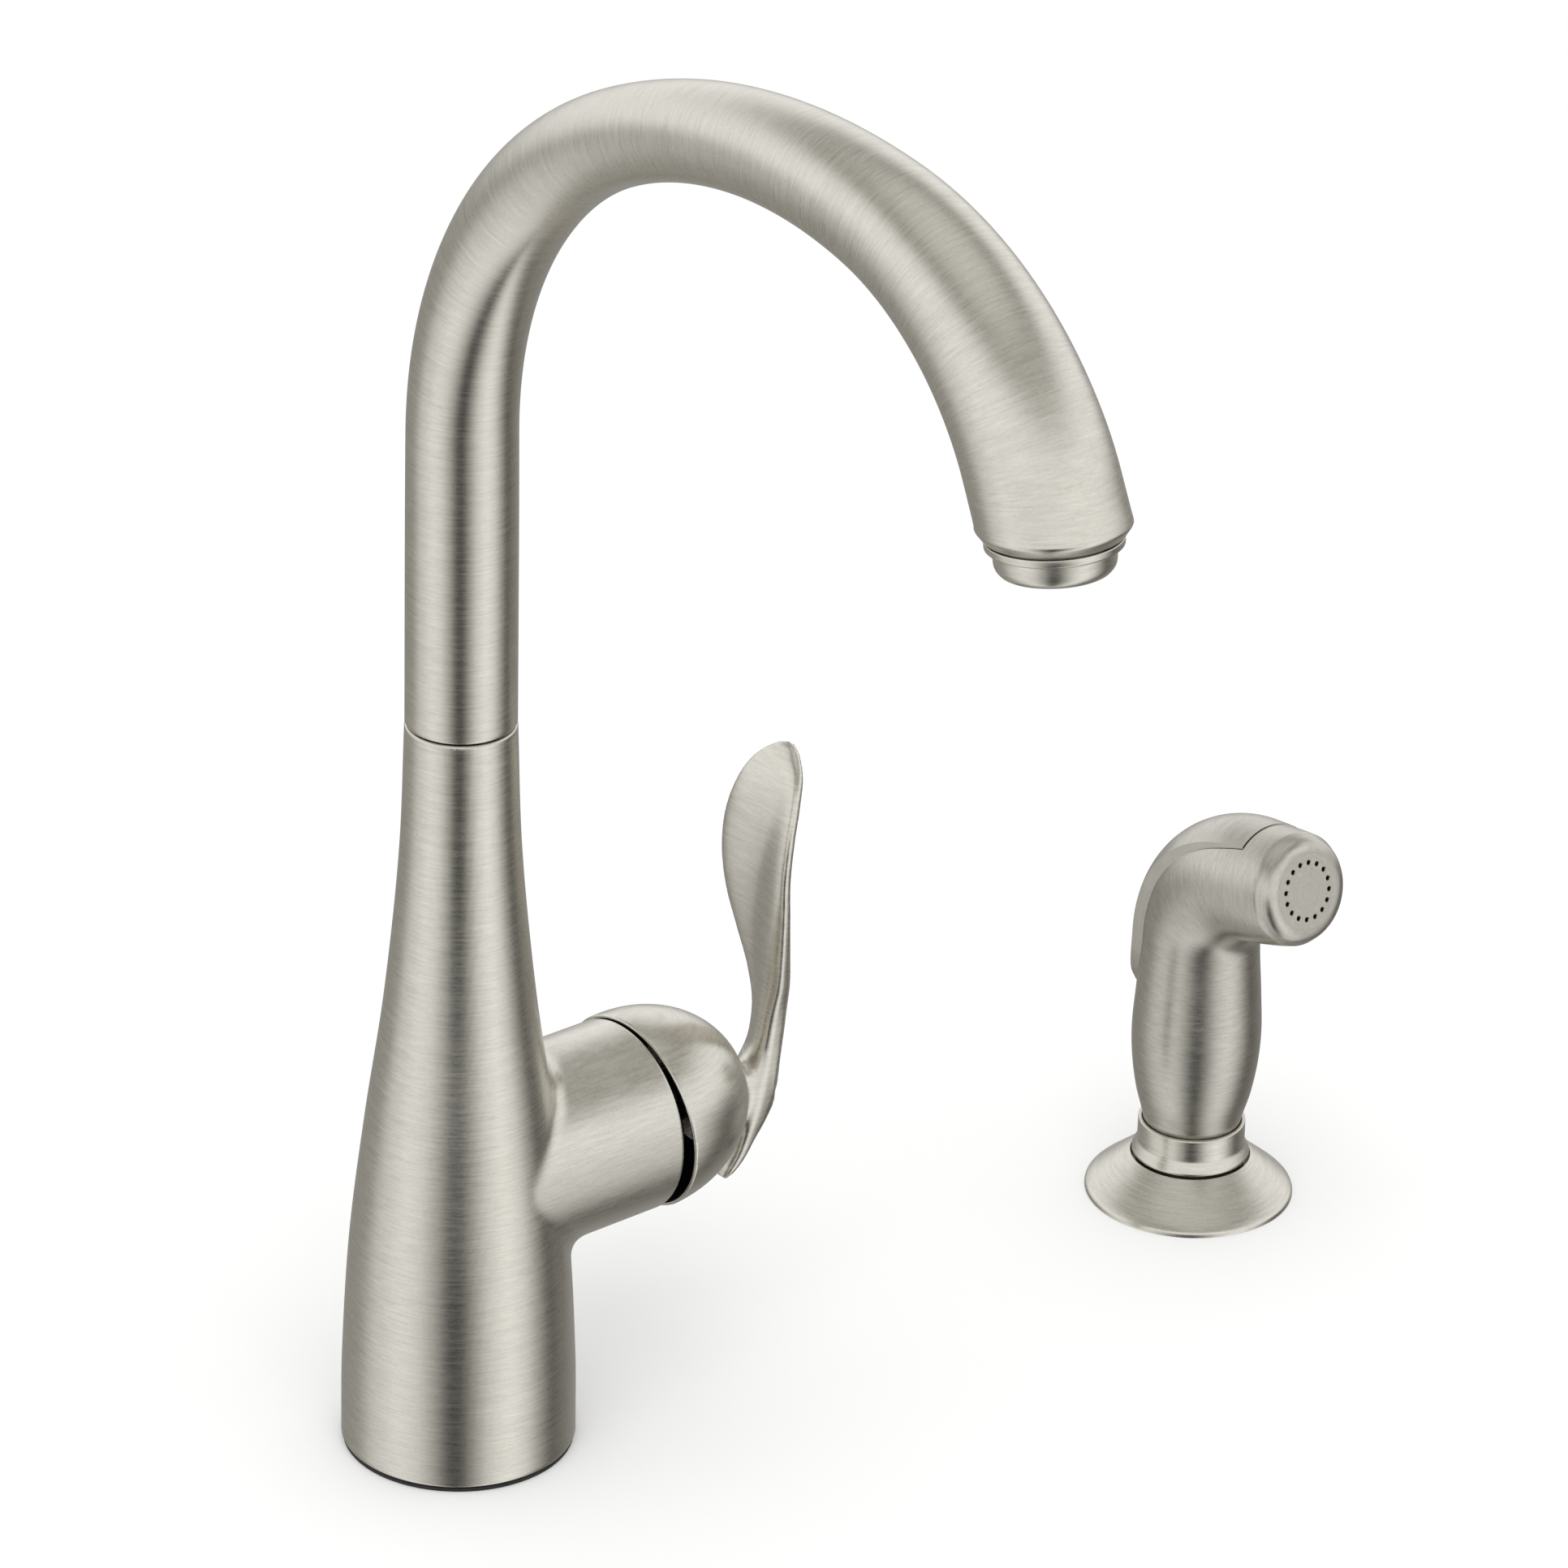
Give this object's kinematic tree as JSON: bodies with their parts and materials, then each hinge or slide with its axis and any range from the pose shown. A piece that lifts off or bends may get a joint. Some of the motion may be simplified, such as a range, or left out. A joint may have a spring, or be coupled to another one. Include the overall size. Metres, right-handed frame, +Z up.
{
  "type": "kitchen faucet",
  "caption": "Gooseneck kitchen faucet with a flared column, a leaf-shaped side lever and a separate side sprayer standing in its own collar.",
  "frame": {"origin": "on the top of the deck, at the centre of the faucet's base", "axes": "+Z up, the spout reaches towards -Y over the sink, the handle's side arm points along +X"},
  "size_m": [0.2547, 0.2239, 0.4429],
  "materials": {
    "brushed_nickel": "brushed satin nickel plate",
    "nickel_plated_plastic": "brushed satin nickel plate on plastic",
    "rubber": "matte black",
    "brass": "machined",
    "copper": "drawn copper tube",
    "steel": "zinc plated and stainless",
    "ceramic": "lapped ceramic",
    "black_plastic": "moulded black"
  },
  "bodies": {
    "faucet_body": {"body_shell": "brushed_nickel", "base_gasket": "rubber", "mounting_shank": "brass", "deck_washer": "rubber", "clamp_washer": "steel", "mounting_nut": "black_plastic", "valve_block": "brass", "hot_supply_tube": "copper", "cold_supply_tube": "copper", "spray_outlet_tube": "copper", "waterway_hub": "brass", "swivel_ring": "black_plastic", "lower_spout_seal": "rubber", "upper_spout_seal": "rubber", "retaining_ring": "steel", "diverter_body": "black_plastic", "cartridge_seal": "rubber", "fixed_disc": "ceramic", "cartridge_sleeve": "black_plastic", "bonnet_nut": "black_plastic", "spray_escutcheon": "brushed_nickel", "spray_gasket": "rubber", "hose_guide": "brushed_nickel", "spray_nut": "black_plastic"},
    "diverter": {"diverter_poppet": "black_plastic"},
    "cartridge": {"stem_carrier": "black_plastic", "stem_pin": "steel"},
    "disc": {"moving_disc": "ceramic"},
    "handle": {"lever_handle": "brushed_nickel", "handle_screw": "steel", "stem": "brass"},
    "spout": {"spout_tube": "brushed_nickel", "spout_socket": "brass", "aerator_housing": "brushed_nickel", "aerator_insert": "black_plastic", "aerator_gasket": "rubber"},
    "hose_end": {"hose_coupling": "brass"},
    "sprayer": {"spray_body": "nickel_plated_plastic", "spray_face": "nickel_plated_plastic", "trigger_pin": "steel", "trigger_spring": "steel", "coupling_washer": "rubber"},
    "thumb_lever": {"spray_trigger": "nickel_plated_plastic"},
    "plunger": {"spray_plunger": "brass", "plunger_seal": "rubber"}
  },
  "joints": [
    {"name": "spout_swivel", "type": "hinge", "parent": "faucet_body", "child": "spout", "pos_m": [0, 0, 0.1757], "axis": [0, 0, 1], "continuous": true},
    {"name": "temperature", "type": "hinge", "parent": "faucet_body", "child": "cartridge", "pos_m": [0.04, 0, 0.0653], "axis": [1, 0, 0], "range_deg": [-45, 45]},
    {"name": "handle_tilt", "type": "hinge", "parent": "cartridge", "child": "handle", "pos_m": [0.04, 0, 0.0653], "axis": [0, 1, 0], "range_deg": [0, 10]},
    {"name": "disc_slide", "type": "slide", "parent": "cartridge", "child": "disc", "axis": [0, 0, 1], "range_m": [0, 0.003]},
    {"name": "diverter_lift", "type": "slide", "parent": "faucet_body", "child": "diverter", "axis": [0, 0, 1], "range_m": [0, 0.0025], "stiffness_N_per_m": 60, "springref_m": -0.002},
    {"name": "sprayer_lift", "type": "slide", "parent": "faucet_body", "child": "hose_end", "axis": [0, 0, 1], "range_m": [0, 0.12]},
    {"name": "sprayer_turn", "type": "hinge", "parent": "hose_end", "child": "sprayer", "pos_m": [0.2038, -0.0169, 0.01], "axis": [0, 0, 1], "continuous": true},
    {"name": "trigger_press", "type": "hinge", "parent": "sprayer", "child": "thumb_lever", "pos_m": [0.2038, -0.0323, 0.0975], "axis": [-1, 0, 0], "range_deg": [0, 3], "stiffness_Nm_per_rad": 1.5, "springref_deg": -2.86},
    {"name": "plunger_slide", "type": "slide", "parent": "sprayer", "child": "plunger", "axis": [0, -0.9703, 0.2419], "range_m": [0, 0.0019]}
  ],
  "couplings": [
    {"joint": "disc_slide", "follows": "handle_tilt", "m_per_rad": 0.0165},
    {"joint": "plunger_slide", "follows": "trigger_press", "m_per_rad": 0.035}
  ]
}
